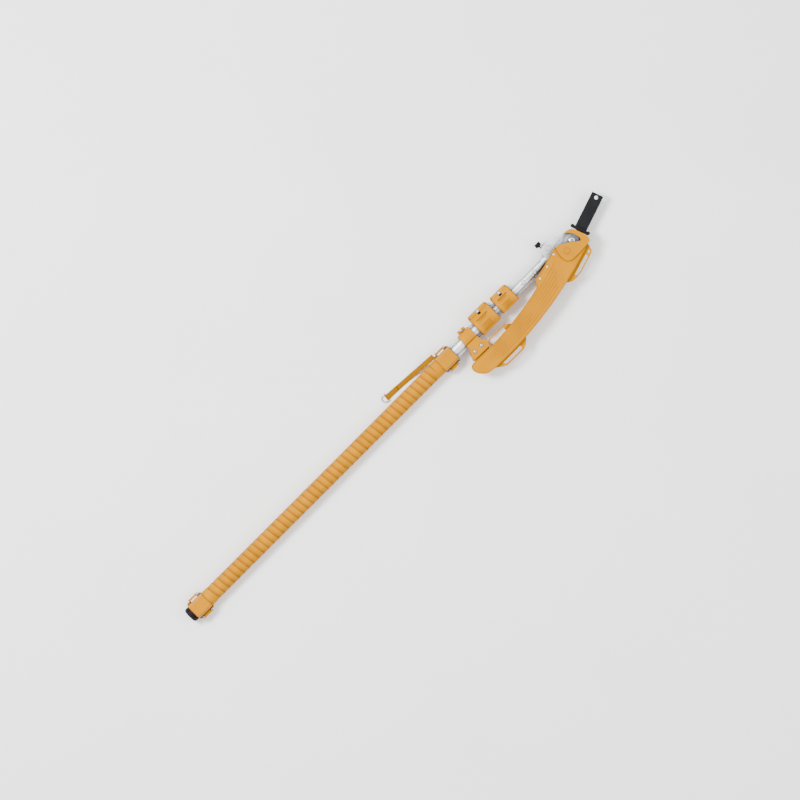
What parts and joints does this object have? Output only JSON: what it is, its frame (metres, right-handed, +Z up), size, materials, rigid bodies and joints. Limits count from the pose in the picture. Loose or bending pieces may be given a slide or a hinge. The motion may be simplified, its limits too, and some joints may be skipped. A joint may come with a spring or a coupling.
{
  "type": "telescoping pole saw",
  "caption": "Telescoping pole saw with lever locks, a wrapped grip and a curved saw blade folded in an orange sheath along the pole head.",
  "frame": {"origin": "centre of the foot's end face, on the pole's axis", "axes": "+X along the pole towards the saw head, +Y away from the folded blade, +Z up, away from the ground that the tool lies on"},
  "size_m": [1.2353, 0.1414, 0.0487],
  "materials": {
    "orange_shell": "satin",
    "orange_lever": "satin",
    "grip_tape": "wrapped, matte",
    "black_plastic": "fine grain",
    "black_rubber": "matte",
    "dark_nylon": "matte",
    "tube_alloy": "satin anodised",
    "cast_alloy": "fine blasted",
    "zinc_steel": "zinc plated",
    "blade_steel": "ground",
    "spring_steel": "drawn wire",
    "webbing": "woven"
  },
  "bodies": {
    "handle": {"foot": "black_rubber", "base_tube": "tube_alloy", "grip_sleeve": "grip_tape", "lower_collar_front": "orange_shell", "lower_collar_back": "orange_shell", "lower_collar_screws": "zinc_steel", "upper_collar_front": "orange_shell", "upper_collar_back": "orange_shell", "upper_collar_screws": "zinc_steel", "sheath_bracket": "orange_shell", "bracket_band": "orange_shell", "bracket_screws": "zinc_steel", "cradle_back": "orange_shell", "cradle_screws": "zinc_steel", "lower_lock_body": "orange_shell", "lower_lever_pin": "zinc_steel", "lower_draw_bolt": "zinc_steel", "lower_lock_nut": "zinc_steel", "strap": "webbing"},
    "middle": {"mid_tube": "tube_alloy", "mid_guide_bush": "dark_nylon", "upper_lock_body": "orange_shell", "upper_lever_pin": "zinc_steel", "upper_draw_bolt": "zinc_steel", "upper_lock_nut": "zinc_steel"},
    "tip": {"tip_tube": "tube_alloy", "tip_guide_bush": "dark_nylon", "head_spigot": "tube_alloy", "head_rivets": "tube_alloy", "saw_head": "cast_alloy", "pivot_bolt": "zinc_steel", "pivot_washer": "zinc_steel", "pivot_nut": "zinc_steel", "sheath_back": "orange_shell", "sheath_spacer": "orange_shell", "sheath_front": "orange_shell", "sheath_rivets": "tube_alloy", "sheath_cap": "orange_lever", "pole_side_loop": "orange_shell", "tail_loop": "orange_shell", "head_loop": "orange_shell", "hang_tab": "black_plastic", "tab_flange": "black_plastic", "tab_screws": "zinc_steel", "plunger_nut": "zinc_steel", "plunger_spring": "spring_steel", "button_spring": "spring_steel"},
    "blade": {"saw_blade": "blade_steel"},
    "lower_lever": {"lower_lever": "orange_lever"},
    "upper_lever": {"upper_lever": "orange_lever"},
    "plunger": {"plunger_knob": "black_plastic", "plunger_pin": "zinc_steel"},
    "button": {"lock_button": "orange_lever"},
    "ring": {"strap_ring": "zinc_steel"}
  },
  "joints": [
    {"name": "mid_slide", "type": "slide", "parent": "handle", "child": "middle", "axis": [1, 0, 0], "range_m": [0, 0.7]},
    {"name": "tip_slide", "type": "slide", "parent": "middle", "child": "tip", "axis": [1, 0, 0], "range_m": [0, 0.72]},
    {"name": "blade_fold", "type": "hinge", "parent": "tip", "child": "blade", "pos_m": [1.1235, -0.009, 0.018], "axis": [0, 0, 1], "range_deg": [0, 140]},
    {"name": "lower_lever_hinge", "type": "hinge", "parent": "handle", "child": "lower_lever", "pos_m": [0.879, 0.0248, 0.0135], "axis": [-1, 0, 0], "range_deg": [0, 115]},
    {"name": "upper_lever_hinge", "type": "hinge", "parent": "middle", "child": "upper_lever", "pos_m": [0.9375, 0.0208, 0.0125], "axis": [-1, 0, 0], "range_deg": [0, 115]},
    {"name": "plunger_pull", "type": "slide", "parent": "tip", "child": "plunger", "axis": [0, 1, 0], "range_m": [0, 0.004], "stiffness_N_per_m": 400, "springref_m": -0.005, "deforming": ["plunger_spring"]},
    {"name": "button_press", "type": "slide", "parent": "tip", "child": "button", "axis": [0, 0, -1], "range_m": [0, 0.002], "stiffness_N_per_m": 600, "springref_m": -0.002, "deforming": ["button_spring"]},
    {"name": "ring_swing", "type": "hinge", "parent": "handle", "child": "ring", "pos_m": [0.61767, 0.03264, -0.0175], "axis": [0.0654, 0.9979, 0], "range_deg": [-90, 150]}
  ]
}
